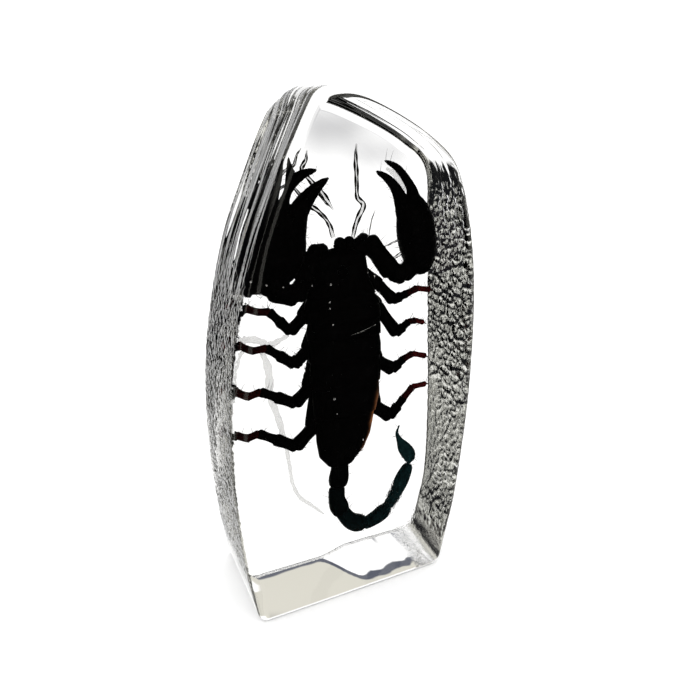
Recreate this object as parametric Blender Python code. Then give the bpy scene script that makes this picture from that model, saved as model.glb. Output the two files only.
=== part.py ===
# A scorpion sealed in a free-standing block of clear resin.
# +Z is up, the polished front face looks along -Y, and the origin is under the middle of the base.
# The resin is parted at y = 0 into a front and a back half, each with its share of the pocket
# that the specimen lies in. Lengths in the tables are in millimetres.

from math import cos, pi, sin

import bmesh
import bpy
from mathutils import Matrix, Vector

MM = 0.001

# The block
THICKNESS = 27.8           # front face to back face
EDGE_ROUND = 2.2           # rounding of both faces' edges
BASE_EDGE_ROUND = 1.0      # the same along the base, which stands flat
BLEND_HEIGHT = 8.0         # by this height one rounding has become the other
PARTING_GAP = 0.3          # between the two halves
BULGE_LEVEL = 6.5          # a ring this far from the parting shapes the bulge
ROUND_STEPS = 3            # facets across each rounded edge
SPAN_STEPS = 2             # points from one outline point to the next

# Outline of the front face's wall, from the base's left corner round over the top to its right
# corner: x, z, how far the wall has come in by the time it meets the back face, and how far it
# bulges between the faces.
OUTLINE = [
    (-25.9, 4.6, 0.0, 0.0), (-27.0, 12.0, 0.0, 0.0), (-27.9, 22.0, 0.0, 0.0), (-28.4, 36.0, 0.0, 0.0),
    (-27.5, 53.0, 0.0, 0.0), (-24.9, 68.0, 0.0, 0.0), (-21.4, 80.6, 0.0, 0.0), (-16.3, 93.0, 0.0, 0.0),
    (-11.2, 103.6, 0.0, 0.3), (-8.4, 106.9, 0.0, 1.6), (-5.0, 107.9, 0.0, 1.3), (1.0, 107.3, 0.0, 0.6),
    (10.0, 103.8, -0.4, 0.0), (17.4, 99.4, -1.0, 0.0), (22.3, 94.1, -1.8, 0.0), (25.7, 84.5, 0.5, 0.0),
    (27.9, 72.0, 2.2, 0.0), (28.6, 57.0, 2.6, 0.0), (28.0, 39.0, 1.6, 0.0), (25.8, 19.0, 0.0, 0.0),
    (23.8, 9.5, 0.0, 0.0), (22.5, 5.0, 0.0, 0.0),
]
# Corners between the walls and the flat base: middle of the arc (x, z), radius, first and last turn
LEFT_CORNER = (-23.3, 2.1, 2.1, -90, -170)
RIGHT_CORNER = (18.6, 3.2, 3.2, -16, -90)
CORNER_STEPS = 4
BASE_STEPS = 4

# The specimen, which lies belly to the back face with its head up
CLEARANCE = 0.7            # resin stands this far off it all round
BODY_SIDES = 14
POCKET_SIDES = 12
LIMB_ROUND = 1             # bevel resolution of a limb: six sides
TAIL_ROUND = 2             # eight sides

# Trunk: height z, middle x, half width, rise of the back, depth of the belly
TRUNK = [
    (78.4, -1.2, 5.0, 1.4, 1.2), (77.4, -1.2, 6.2, 2.3, 1.9), (75.2, -1.1, 7.2, 3.0, 2.5),
    (72.0, -0.8, 8.1, 3.4, 2.8), (66.8, -0.7, 8.8, 3.6, 2.9), (60.0, -0.5, 8.7, 3.8, 2.9),
    (52.0, -0.3, 8.6, 3.8, 2.9), (45.5, -0.3, 8.2, 3.7, 2.8), (41.0, -0.7, 7.5, 3.5, 2.7),
    (36.0, -1.2, 6.7, 3.2, 2.5), (32.0, -1.9, 5.4, 2.8, 2.2), (29.4, -2.2, 3.0, 2.0, 1.7),
]
PLATE_EDGES = [68.6, 66.2, 63.2, 59.4, 54.6, 48.6, 41.4, 29.4]   # rear edges, the carapace's first
PLATE_STEP = 0.955         # a plate starts this much narrower than the one before it ends
PLATE_START = 0.25         # and this far behind that one's edge
PLATE_FULL = 0.55          # share of a plate's length by which it is at full width

# Between two joints a limb has a waist, a swelling and a taper, at these shares of the length
WAIST = 0.86
SWELLING_AT = 0.3
TAPER_AT = 0.85

# Limbs: x, y, z and radius at each joint, from the body outwards
LEGS = {
    "left_1": [(-4.2, 2.2, 72.0, 1.6), (-9.6, 1.2, 64.4, 1.5), (-12.7, 0.2, 62.0, 1.2),
               (-17.0, 0.0, 66.6, 0.9), (-20.6, 0.0, 66.9, 0.65), (-22.4, 0.2, 67.0, 0.45)],
    "left_2": [(-4.2, 2.5, 69.0, 1.6), (-8.6, 1.5, 57.2, 1.6), (-12.2, 0.3, 54.8, 1.3),
               (-18.0, 0.0, 59.1, 0.9), (-22.0, 0.0, 58.9, 0.6), (-23.8, 0.2, 58.9, 0.45)],
    "left_3": [(-4.2, 2.7, 66.0, 1.7), (-8.6, 1.7, 48.6, 1.7), (-12.3, 0.3, 46.0, 1.4),
               (-19.8, 0.0, 49.9, 0.95), (-23.2, 0.0, 49.2, 0.65), (-24.8, 0.2, 48.9, 0.5)],
    "left_4": [(-4.0, 2.8, 63.0, 1.8), (-8.0, 1.8, 39.2, 1.9), (-12.6, 0.3, 35.9, 1.5),
               (-20.8, 0.0, 40.7, 1.0), (-24.0, 0.0, 40.0, 0.7), (-25.4, 0.2, 39.8, 0.5)],
    "right_1": [(2.4, 2.2, 74.5, 1.6), (7.2, 1.2, 70.6, 1.6), (11.5, 0.2, 66.0, 1.4),
                (14.8, 0.0, 67.4, 0.9), (17.4, 0.0, 68.4, 0.65), (20.8, 0.2, 67.8, 0.5)],
    "right_2": [(2.6, 2.5, 71.0, 1.6), (7.6, 1.5, 65.0, 1.6), (11.9, 0.3, 59.5, 1.3),
                (15.2, 0.0, 61.2, 0.8), (17.0, 0.0, 61.0, 0.6), (19.0, 0.2, 60.3, 0.45)],
    "right_3": [(3.0, 2.7, 67.0, 1.7), (7.4, 1.7, 52.4, 1.7), (11.3, 0.3, 50.6, 1.4),
                (14.0, 0.0, 52.2, 0.95), (16.4, 0.0, 53.3, 0.7), (20.0, 0.2, 52.1, 0.45)],
    "right_4": [(3.0, 2.8, 64.0, 1.8), (6.8, 1.8, 41.6, 1.8), (9.6, 0.4, 38.9, 1.6),
                (13.8, 0.0, 42.6, 1.0), (16.4, 0.0, 45.0, 0.75), (20.4, 0.2, 45.1, 0.5)],
}
PINCER_ARMS = {
    "left": [(-4.6, 0.6, 77.0, 2.6), (-7.4, -0.4, 77.8, 2.5), (-11.0, -0.9, 70.6, 2.2),
             (-16.2, -0.4, 71.3, 2.5), (-18.4, -0.2, 74.2, 2.4)],
    "right": [(2.6, 0.6, 77.6, 2.6), (5.0, -0.4, 78.8, 2.4), (9.4, -1.0, 73.4, 2.2),
              (13.2, -0.8, 72.2, 2.2), (17.8, -0.2, 75.2, 2.4)],
}
# Pincer palms: middle, half width, half depth, half length, lean of the top towards +X in degrees
PALMS = {
    "left": ((-14.4, -0.6, 80.3), 5.6, 3.4, 8.6, 9.0),
    "right": ((16.9, -0.4, 80.2), 4.5, 4.4, 8.8, -11.0),
}
FINGERS = {
    "left_fixed": [(-15.2, -0.5, 85.6, 3.0), (-14.2, -0.4, 88.6, 2.0), (-12.0, -0.3, 91.2, 1.15),
                   (-9.0, -0.1, 93.0, 0.85), (-5.8, 0.0, 93.8, 0.4)],
    "left_moving": [(-11.0, -0.6, 83.4, 2.2), (-9.8, -0.5, 85.8, 1.6), (-8.0, -0.4, 88.3, 1.15),
                    (-5.8, -0.2, 90.6, 0.85), (-3.5, 0.0, 92.2, 0.4)],
    "right_fixed": [(15.6, -0.4, 86.4, 2.4), (14.8, -0.3, 89.4, 1.3), (13.0, -0.2, 92.2, 0.95),
                    (11.2, -0.1, 94.1, 0.75), (8.9, 0.0, 95.4, 0.38)],
    "right_moving": [(13.8, -0.4, 84.6, 1.9), (12.9, -0.3, 88.2, 1.45), (11.6, -0.2, 90.8, 1.0),
                     (9.6, -0.1, 92.6, 0.85), (7.3, 0.0, 93.6, 0.4)],
}
JAWS = {
    "left": [(-2.4, -0.2, 76.2, 1.8), (-2.3, -0.2, 78.7, 1.6), (-1.8, 0.0, 80.2, 0.8)],
    "right": [(0.6, -0.2, 76.4, 1.8), (0.7, -0.2, 79.0, 1.6), (0.3, 0.0, 80.5, 0.8)],
}
TAIL = [
    [(-1.9, 0.0, 31.4, 1.9), (-2.5, 0.0, 27.4, 2.3), (-3.1, 0.0, 22.9, 1.8)],
    [(-3.1, 0.0, 24.0, 1.7), (-3.1, 0.0, 19.8, 2.2), (-1.7, 0.0, 16.0, 1.7)],
    [(-2.4, 0.0, 17.4, 1.6), (0.2, 0.0, 13.4, 2.1), (4.4, 0.0, 11.7, 1.6)],
    [(3.4, 0.0, 11.7, 1.5), (7.4, 0.0, 12.8, 1.9), (10.8, 0.0, 14.6, 1.45)],
    [(10.2, 0.0, 14.1, 1.4), (13.2, 0.0, 19.4, 1.75), (16.2, 0.0, 25.2, 1.3)],
    [(16.3, 0.0, 24.6, 1.0), (16.1, 0.0, 27.2, 1.75), (14.6, 0.0, 29.8, 1.6), (13.4, 0.0, 32.0, 0.8),
     (12.7, 0.0, 34.0, 0.4), (13.3, 0.0, 35.8, 0.16)],
]
COMBS = {"left": (-3.4, 3.0, 59.4, 62.0), "right": (2.2, 3.0, 59.8, -62.0)}   # x, y, z, turn
COMB_SIZE = (1.1, 0.7, 3.6)        # half width, half depth, half length
COMB_FACETS = (8, 6)               # round it and along it
BREASTPLATE = ((-0.8, 2.2, 70.5), (3.4, 1.6, 5.6))

SHARP_ANGLE = 40.0         # degrees; edges below it are shaded smooth
RESIN_COLOUR = (0.93, 0.95, 0.94, 1.0)
SHELL_COLOUR = (0.012, 0.010, 0.011, 1.0)


def millimetres(*values):
    return Vector(values) * MM


def clear_scene():
    for item in list(bpy.data.objects):
        bpy.data.objects.remove(item, do_unlink=True)


def make_material(name, colour, roughness, see_through=0.0):
    made = bpy.data.materials.new(name)
    made.use_nodes = True
    shader = made.node_tree.nodes["Principled BSDF"]
    shader.inputs["Base Color"].default_value = colour
    shader.inputs["Roughness"].default_value = roughness
    shader.inputs["Metallic"].default_value = 0.0
    shader.inputs["Transmission Weight"].default_value = see_through
    return made


def make_collection(name, hidden=False):
    made = bpy.data.collections.new(name)
    made.hide_render = hidden
    bpy.context.scene.collection.children.link(made)
    return made


def object_from_bmesh(name, shape, collection):
    bmesh.ops.recalc_face_normals(shape, faces=shape.faces)
    mesh = bpy.data.meshes.new(name)
    shape.to_mesh(mesh)
    shape.free()
    made = bpy.data.objects.new(name, mesh)
    collection.objects.link(made)
    return made


def shade_smooth(mesh):
    mesh.shade_smooth()
    mesh.set_sharp_from_angle(angle=SHARP_ANGLE * pi / 180)


def hide_cutter(item):
    item.hide_render = True
    item.display_type = "WIRE"


def curve_through(points, steps):
    """Points of a smooth open curve through the given ones, `steps` to a span."""
    padded = [points[0] * 2 - points[1], *points, points[-1] * 2 - points[-2]]
    found = []
    for before, start, end, after in zip(padded, padded[1:], padded[2:], padded[3:]):
        for step in range(steps):
            t = step / steps
            found.append(0.5 * (2 * start + (end - before) * t
                                + (2 * before - 5 * start + 4 * end - after) * t ** 2
                                + (3 * (start - end) + after - before) * t ** 3))
    return [*found, points[-1]]


def corner_arc(middle_x, middle_z, radius, first, last):
    points = []
    for step in range(CORNER_STEPS + 1):
        turn = (first + (last - first) * step / CORNER_STEPS) * pi / 180
        points.append(Vector((middle_x + radius * cos(turn), middle_z + radius * sin(turn), 0.0, 0.0)))
    return points


def block_outline():
    """(x, z, lean, bulge) round the block: the walls and top as one smooth curve, then the flat base."""
    walls = curve_through([Vector(point) for point in OUTLINE], SPAN_STEPS)
    right, left = corner_arc(*RIGHT_CORNER), corner_arc(*LEFT_CORNER)
    base = [right[-1].lerp(left[0], step / BASE_STEPS) for step in range(1, BASE_STEPS)]
    return [*walls, *right, *base, *left]


def inward_normals(outline):
    found = []
    for index, here in enumerate(outline):
        before, after = outline[index - 1], outline[(index + 1) % len(outline)]
        along = (here - before).xy.normalized() + (after - here).xy.normalized()
        found.append(Vector((along.y, -along.x)).normalized())
    return found


def rounding_at(z):
    share = min(max(z, 0.0) / BLEND_HEIGHT, 1.0)
    return BASE_EDGE_ROUND + (EDGE_ROUND - BASE_EDGE_ROUND) * share


def outline_ring(shape, outline, side, turn, level=None):
    """The outline part way round the edge's rounding: `turn` 0 is the wall, a quarter turn the face.
    A wall ring nearer the parting gives its own `level` in y."""
    ring = []
    for point, normal in zip(outline, inward_normals(outline)):
        radius = rounding_at(point.y)
        depth = THICKNESS / 2 - radius * (1 - sin(turn)) if level is None else level
        share = side * depth / THICKNESS + 0.5
        bulge = point.w * 4 * share * (1 - share)
        reach = radius * (1 - cos(turn)) + point.z * share - bulge
        ring.append(shape.verts.new(millimetres(point.x + normal.x * reach, side * depth,
                                                point.y + normal.y * reach)))
    return ring


def bridge_rings(shape, rings):
    """Walls between closed rings of equal length, and a flat cap at each end."""
    for lower, upper in zip(rings, rings[1:]):
        for index in range(len(lower)):
            following = (index + 1) % len(lower)
            shape.faces.new((lower[index], lower[following], upper[following], upper[index]))
    shape.faces.new(rings[0])
    shape.faces.new(rings[-1])


def block_half(name, side, collection):
    """One half of the resin: side -1 is the front, +1 the back."""
    shape = bmesh.new()
    outline = block_outline()
    turns = [pi / 2 * step / ROUND_STEPS for step in range(ROUND_STEPS, -1, -1)]
    rings = [outline_ring(shape, outline, side, turn) for turn in turns]
    rings += [outline_ring(shape, outline, side, 0.0, level) for level in (BULGE_LEVEL, PARTING_GAP / 2)]
    bridge_rings(shape, rings)
    return object_from_bmesh(name, shape, collection)


def stations_along(joints, knuckles):
    """(x, y, z, radius) rows along a limb; each length between two joints swells in its middle."""
    rows = []
    for start, end in zip(joints, joints[1:]):
        first, last = Vector(start), Vector(end)
        if knuckles:
            waist, swelling = first.copy(), first.lerp(last, SWELLING_AT)
            waist.w *= WAIST
            swelling.w = first.w
            rows += [waist, swelling, first.lerp(last, TAPER_AT)]
        else:
            rows.append(first)
    return [*rows, Vector(joints[-1])]


def limb(name, joints, collection, resolution=LIMB_ROUND, grow=0.0, knuckles=False):
    """A jointed limb as a tapered tube, mitred at its bends; `grow` swells it and lengthens both ends."""
    stations = stations_along(joints, knuckles)
    for before, here, after in zip(stations, stations[1:], stations[2:]):
        bend = (here - before).xyz.angle((after - here).xyz)
        here.w = (here.w + grow) / cos(bend / 2) - grow
    root_reach = (stations[0] - stations[1]).xyz.normalized() * grow
    tip_reach = (stations[-1] - stations[-2]).xyz.normalized() * grow
    stations[0].xyz += root_reach
    stations[-1].xyz += tip_reach
    curve = bpy.data.curves.new(name, "CURVE")
    curve.dimensions = "3D"
    curve.bevel_depth = MM
    curve.bevel_resolution = resolution
    curve.use_fill_caps = True
    spline = curve.splines.new("POLY")
    spline.points.add(len(stations) - 1)
    for point, station in zip(spline.points, stations):
        point.co = (*(station.xyz * MM), 1.0)
        point.radius = station.w + grow
    tube = bpy.data.objects.new(name, curve)
    collection.objects.link(tube)
    return meshed(tube, collection)


def meshed(tube, collection):
    """The curve object as a mesh with its end caps welded on."""
    bpy.context.view_layer.update()
    graph = bpy.context.evaluated_depsgraph_get()
    mesh = bpy.data.meshes.new_from_object(tube.evaluated_get(graph))
    shape = bmesh.new()
    shape.from_mesh(mesh)
    bmesh.ops.remove_doubles(shape, verts=shape.verts, dist=1e-6)
    name = tube.name
    bpy.data.objects.remove(tube)
    bpy.data.meshes.remove(mesh)
    return object_from_bmesh(name, shape, collection)


def ellipsoid(name, middle, half_sizes, collection, lean=0.0, sides=12, rings=8, grow=0.0):
    """A rounded mass, with its long axis along Z leaned towards +X by `lean` degrees."""
    shape = bmesh.new()
    bmesh.ops.create_uvsphere(shape, u_segments=sides, v_segments=rings, radius=1.0)
    size = Matrix.Diagonal((*((half + grow) * MM for half in half_sizes), 1.0))
    place = Matrix.Translation(millimetres(*middle)) @ Matrix.Rotation(lean * pi / 180, 4, "Y") @ size
    bmesh.ops.transform(shape, matrix=place, verts=shape.verts)
    return object_from_bmesh(name, shape, collection)


def trunk_at(z):
    """(middle x, half width, rise, depth) of the trunk at height z."""
    for upper, lower in zip(TRUNK, TRUNK[1:]):
        if lower[0] <= z <= upper[0]:
            share = (upper[0] - z) / (upper[0] - lower[0])
            return [a + (b - a) * share for a, b in zip(upper[1:], lower[1:])]
    return list(TRUNK[-1][1:])


def trunk_ring(shape, z, scale, grow, sides):
    middle, half, rise, depth = trunk_at(z)
    ring = []
    for index in range(sides):
        turn = 2 * pi * index / sides
        height = rise if sin(turn) > 0 else depth
        ring.append(shape.verts.new(millimetres(middle + (half * scale + grow) * cos(turn),
                                                -(height * scale + grow) * sin(turn), z)))
    return ring


def trunk(name, collection):
    """Carapace and seven back plates: each plate widens to its rear edge, where the next one starts."""
    shape = bmesh.new()
    rings = [trunk_ring(shape, row[0], 1.0, 0.0, BODY_SIDES) for row in TRUNK if row[0] > PLATE_EDGES[0]]
    rings.append(trunk_ring(shape, PLATE_EDGES[0], 1.0, 0.0, BODY_SIDES))
    for front, rear in zip(PLATE_EDGES, PLATE_EDGES[1:]):
        rings.append(trunk_ring(shape, front - PLATE_START, PLATE_STEP, 0.0, BODY_SIDES))
        rings.append(trunk_ring(shape, front + (rear - front) * PLATE_FULL, 1.0, 0.0, BODY_SIDES))
        rings.append(trunk_ring(shape, rear, 1.0, 0.0, BODY_SIDES))
    bridge_rings(shape, rings)
    return object_from_bmesh(name, shape, collection)


def trunk_pocket(name, collection):
    shape = bmesh.new()
    rings = [trunk_ring(shape, row[0], 1.0, CLEARANCE, POCKET_SIDES) for row in TRUNK]
    for vert in rings[0]:
        vert.co.z = (TRUNK[0][0] + CLEARANCE) * MM
    for vert in rings[-1]:
        vert.co.z = (TRUNK[-1][0] - CLEARANCE) * MM
    bridge_rings(shape, rings)
    return object_from_bmesh(name, shape, collection)


def limbs_and_tail(prefix, collection, grow=0.0, knuckles=True, tail_round=TAIL_ROUND):
    """Every piece outside the trunk; `grow` swells them all for the pocket."""
    pieces = []
    for table, jointed in ((LEGS, knuckles), (PINCER_ARMS, knuckles), (FINGERS, False), (JAWS, False)):
        for place, joints in table.items():
            pieces.append(limb(f"{prefix}_{place}", joints, collection, LIMB_ROUND, grow, jointed))
    for number, joints in enumerate(TAIL, 1):
        pieces.append(limb(f"{prefix}_tail_{number}", joints, collection, tail_round, grow))
    for side, (middle, half_width, half_depth, half_length, lean) in PALMS.items():
        half_sizes = (half_width, half_depth, half_length)
        pieces.append(ellipsoid(f"{prefix}_palm_{side}", middle, half_sizes, collection, lean, grow=grow))
    pieces.append(ellipsoid(f"{prefix}_breastplate", BREASTPLATE[0], BREASTPLATE[1], collection, grow=grow))
    for side, (x, y, z, turn) in COMBS.items():
        comb = f"{prefix}_comb_{side}"
        pieces.append(ellipsoid(comb, (x, y, z), COMB_SIZE, collection, turn, *COMB_FACETS, grow))
    return pieces


def fused(name, first, others, material, collection):
    """One closed solid of overlapping pieces, by a Boolean union."""
    loose = make_collection(f"{name}_pieces", hidden=True)
    for piece in others:
        collection.objects.unlink(piece)
        loose.objects.link(piece)
    union = first.modifiers.new("union", "BOOLEAN")
    union.operation = "UNION"
    union.solver = "EXACT"
    union.use_self = True
    union.operand_type = "COLLECTION"
    union.collection = loose
    bpy.context.view_layer.update()
    graph = bpy.context.evaluated_depsgraph_get()
    mesh = bpy.data.meshes.new_from_object(first.evaluated_get(graph))
    mesh.name = name
    for piece in [first, *others]:
        bpy.data.objects.remove(piece)
    bpy.data.collections.remove(loose)
    made = bpy.data.objects.new(name, mesh)
    mesh.materials.clear()
    mesh.materials.append(material)
    shade_smooth(mesh)
    collection.objects.link(made)
    return made


def cut_pocket(half, cutter):
    cut = half.modifiers.new("pocket", "BOOLEAN")
    cut.operation = "DIFFERENCE"
    cut.solver = "EXACT"
    cut.use_self = True
    cut.object = cutter


def main():
    clear_scene()
    parts = make_collection("scorpion_in_resin_block")
    cutters = make_collection("cutters", hidden=True)
    resin = make_material("clear_resin", RESIN_COLOUR, 0.03, see_through=1.0)
    shell = make_material("scorpion_shell", SHELL_COLOUR, 0.22)

    fused("scorpion", trunk("trunk", parts), limbs_and_tail("piece", parts), shell, parts)
    pocket_pieces = limbs_and_tail("pocket", cutters, CLEARANCE, False, LIMB_ROUND)
    pocket = fused("specimen_pocket", trunk_pocket("trunk_pocket", cutters), pocket_pieces, resin, cutters)
    hide_cutter(pocket)

    for name, side in (("resin_front_half", -1), ("resin_back_half", 1)):
        half = block_half(name, side, parts)
        half.data.materials.append(resin)
        shade_smooth(half.data)
        cut_pocket(half, pocket)


main()
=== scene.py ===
from math import cos, pi, radians, sin

import bmesh
import bpy
import numpy as np
from mathutils import Matrix, Vector, noise


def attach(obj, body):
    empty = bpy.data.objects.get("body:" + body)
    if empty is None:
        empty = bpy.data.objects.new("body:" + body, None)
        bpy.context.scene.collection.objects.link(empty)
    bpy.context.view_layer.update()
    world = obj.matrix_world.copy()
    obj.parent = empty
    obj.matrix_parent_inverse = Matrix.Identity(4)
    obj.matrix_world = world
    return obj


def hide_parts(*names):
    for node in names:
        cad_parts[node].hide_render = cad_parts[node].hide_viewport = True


# A scorpion cast in a clear resin block. Lengths in the tables are millimetres, in the frame's own axes:
# +Z up, the polished front face looks along -Y, the origin is under the middle of the base.
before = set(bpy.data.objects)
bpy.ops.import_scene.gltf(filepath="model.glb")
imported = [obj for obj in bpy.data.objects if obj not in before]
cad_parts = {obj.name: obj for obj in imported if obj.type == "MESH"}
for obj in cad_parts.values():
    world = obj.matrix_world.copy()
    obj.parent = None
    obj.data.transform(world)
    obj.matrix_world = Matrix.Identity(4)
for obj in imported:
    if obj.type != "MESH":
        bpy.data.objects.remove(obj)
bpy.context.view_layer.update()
mm = 0.001
noise.seed_set(7)  # the walls' pebbles come out the same at every run


def curveThrough(points, steps):
    # points of a smooth open curve through the given rows, `steps` to a span
    rows = [np.array(p, float) for p in points]
    rows = [2 * rows[0] - rows[1]] + rows + [2 * rows[-1] - rows[-2]]
    found = []
    for a, b, c, d in zip(rows, rows[1:], rows[2:], rows[3:]):
        for i in range(steps):
            t = i / steps
            found.append(0.5 * (2 * b + (c - a) * t + (2 * a - 5 * b + 4 * c - d) * t ** 2
                                + (3 * (b - c) + d - a) * t ** 3))
    return np.array(found + [rows[-2]])


def curvePath(points, steps):
    # the same as a path and its radii
    smooth = curveThrough(points, steps)
    return smooth[:, :3], smooth[:, 3].copy()


def smoothStep(low, high, value):
    t = np.clip((value - low) / (high - low), 0, 1)
    return t * t * (3 - 2 * t)


def unit(vectors):
    return vectors / np.linalg.norm(vectors, axis=-1, keepdims=True)


def skinFaces(rings, count):
    # quads between rings of `count` points, and one face over either end
    faces = []
    for r in range(rings - 1):
        a, b = r * count, (r + 1) * count
        faces += [(a + i, a + (i + 1) % count, b + (i + 1) % count, b + i) for i in range(count)]
    faces.append(tuple(reversed(range(count))))
    faces.append(tuple((rings - 1) * count + i for i in range(count)))
    return faces


def placed(name, data):
    obj = bpy.data.objects.new(name, data)
    bpy.context.scene.collection.objects.link(obj)
    return obj


def meshObject(name, points, faces, material=None):
    mesh = bpy.data.meshes.new(name)
    mesh.from_pydata([tuple(p) for p in np.asarray(points, float) * mm], [], faces)
    mesh.polygons.foreach_set("use_smooth", [True] * len(mesh.polygons))
    if material:
        mesh.materials.append(material)
    return placed(name, mesh)


def vertexRows(mesh, kind):
    # "co" or "normal" of every vertex, a row to each
    found = np.empty(len(mesh.vertices) * 3)
    mesh.vertices.foreach_get(kind, found)
    return found.reshape(-1, 3)


def fillInputs(tree, node, values):
    # a value is another node's output, or what the socket itself is set to
    for key, value in values.items():
        if isinstance(value, bpy.types.NodeSocket):
            tree.links.new(value, node.inputs[key])
        else:
            node.inputs[key].default_value = value


def addNode(tree, kind, inputs=None, **options):
    node = tree.nodes.new("ShaderNode" + kind)
    for key, value in options.items():
        setattr(node, key, value)
    fillInputs(tree, node, inputs or {})
    return node


def newMaterial(name, inputs):
    material = bpy.data.materials.new(name)
    material.use_nodes = True
    tree = material.node_tree
    shader = tree.nodes["Principled BSDF"]
    fillInputs(tree, shader, inputs)
    return material, tree, shader


# The casting: a flat outline carried through the thickness, with rounded edges
block = {
    "thickness": 27.8,
    "edgeRound": 2.2,  # of both faces' edges
    "leftEdgeRound": 2.8,  # softer down the left wall
    "leftSoft": ((0, -14), (82, 68)),  # x and z over which it grows softer
    "baseEdgeRound": 1,  # tighter along the base, up to blendHeight
    "blendHeight": 8,
    "backShare": 0.3,  # the back edge is crisper on the right and below
    "crispRight": ((12, 20), (94, 84)),
    "crispBelow": 1,
    "roundSteps": 9,
    "fineStep": 0.3,  # spacing of points on the pebbled walls
    "coarseStep": 0.8,  # on the polished top and the base
    "cornerStep": 0.48,  # and at the lower corners,
    "corners": (14, 6),  # further out and lower than this
    "wallsFrom": (10, 2.5),  # further out and higher, the outline is side wall
    # x, z, and where they aren't nought: how far the wall comes in at the back, how far it bulges
    "outline": [
        (-25.9, 4.6), (-27, 12), (-27.9, 22), (-28.4, 36), (-27.5, 53), (-24.9, 68),
        (-21.4, 80.6), (-16.3, 93), (-11.2, 103.6, 0, 0.3), (-8.4, 106.9, 0, 1.6),
        (-5, 107.9, 0, 1.3), (1, 107.3, 0, 0.6), (10, 103.8, -0.4), (17.4, 99.4, -1),
        (22.3, 94.1, -1.8), (25.7, 84.5, 0.5), (27.9, 72, 2.2), (28.6, 57, 2.6), (28, 39, 1.6),
        (25.8, 19), (23.8, 9.5), (22.5, 5),
    ],
    "spanSteps": 24,
    "basePoints": 60,
    "leftCorner": (-23.3, 2.1, 2.1, -90, -170),  # middle x, z, radius, first and last turn
    "rightCorner": (18.6, 3.2, 3.2, -16, -90),
    "cornerPoints": 17,
    # relief of the side walls: cell along and across, depth, heights it fades between
    "walls": {
        "left": {"along": 0.9, "across": 1.1, "depth": 0.17, "fullBelow": 66, "noneAbove": 84,
                 "seed": 3.7, "streakShare": 1},
        "right": {"along": 1.5, "across": 2.6, "depth": 0.30, "fullBelow": 84, "noneAbove": 96,
                  "seed": 11.2, "streakShare": 0.3},
        "wander": (0.6, 0.35),  # the cells' edges wander: scale, reach
        "crease": (0.55, 0.35),  # each cell is a bowl inside a crease: width, depth
        "bowlDepth": 1.25,
        "patches": (0.35, 0.6, 0.8),  # and deeper in patches: scale, least, added depth
        "fadeFoot": (3, 15),
        "softFrom": (66, 22),  # downwards the right wall grows softer,
        "softShare": 0.55,
        "softBack": (2, 11),  # most of all towards the back
        "softReach": (0.6, 0.8),  # in front, and added at the back
        "streaks": (34, 2.6, 0.44),  # polishing waves above: along, across, depth
        "fineStreaks": (2.7, 0.35),  # on top of them a wave this much finer, of this share
        "streaksAbove": 20,
    },
    "frost": 0.045,  # roughness of the pebbled walls
    "footFrost": 0.16,  # and of the sawn foot,
    "footRange": (3.2, 1, 1.4),  # from this height down, this near the back,
    "footCorner": ((14, 20), (6, 3)),  # and at the right corner
    "grainScale": 1500,  # on top of the pebbles
    "grainHeight": 0.00005,
    # it lifts gently towards the back, from further forward on the right
    "underside": {
        "below": 4,  # fades out up to this height
        "liftFrom": (8.5, -11.5),  # y where it starts to lift, left and right
        "turn": (-6, 3),  # x between which the one becomes the other
        "sway": (0.9, 4.2),  # of that line: by how much, over what length
        "easeOver": 9,
        "slope": 0.082,
        "wave": 0.03,  # slow unevenness and its size
        "waveSize": (9, 16),
        "ripple": 0.03,  # finer ripples of the saw
        "rippleSize": (1, 14),
        "rippleFrom": (-8, 4),
    },
    # seen as white dots against the shell: x, y, z, radius
    "air": {
        "scratch": [(-0.6, -5.2, 60.4, 0.04), (2, -5.2, 61, 0.12), (5.4, -5, 62.1, 0.05)],
        "bubbles": [(-9, -5.4, 71.8, 0.17), (-5.1, -6, 71.7, 0.22), (-5.4, -6, 68.2, 0.2),
                    (-5.4, -6, 66.8, 0.16), (-4.8, -6, 63.4, 0.2), (-4.8, -6, 47, 0.24),
                    (-4.4, -6, 43.4, 0.16), (2, -5.8, 36, 0.16), (-18.3, -5, 80.4, 0.14),
                    (-18.2, -5, 72.6, 0.18), (-20.1, -4.6, 72.2, 0.15), (-14.9, -5.2, 72, 0.17),
                    (4.8, -5.8, 72.6, 0.2), (3.1, -6.2, 73.6, 0.13), (6.2, -5.2, 69, 0.12)],
    },
    "ior": 1.5,
    "tint": (1, 1, 1, 1),
    "depthTint": (0.985, 0.965, 0.90, 1),
    "depthDensity": 3,  # per metre
}


def cornerArc(middleX, middleZ, radius, first, last):
    turns = np.radians(np.linspace(first, last, block["cornerPoints"]))
    zeros = np.zeros_like(turns)
    return np.stack([middleX + radius * np.cos(turns), middleZ + radius * np.sin(turns), zeros, zeros], 1)


def blockOutline():
    # rows of x, z, lean, bulge: walls and top, right corner, base, left corner
    walls = curveThrough([(*row, 0.0, 0.0)[:4] for row in block["outline"]], block["spanSteps"])
    right, left = cornerArc(*block["rightCorner"]), cornerArc(*block["leftCorner"])
    base = right[-1] + (left[0] - right[-1]) * np.linspace(0, 1, block["basePoints"])[1:-1, None]
    return np.concatenate([walls, right, base, left])


def wallOf(x):
    return block["walls"]["left" if x < 0 else "right"]


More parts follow.
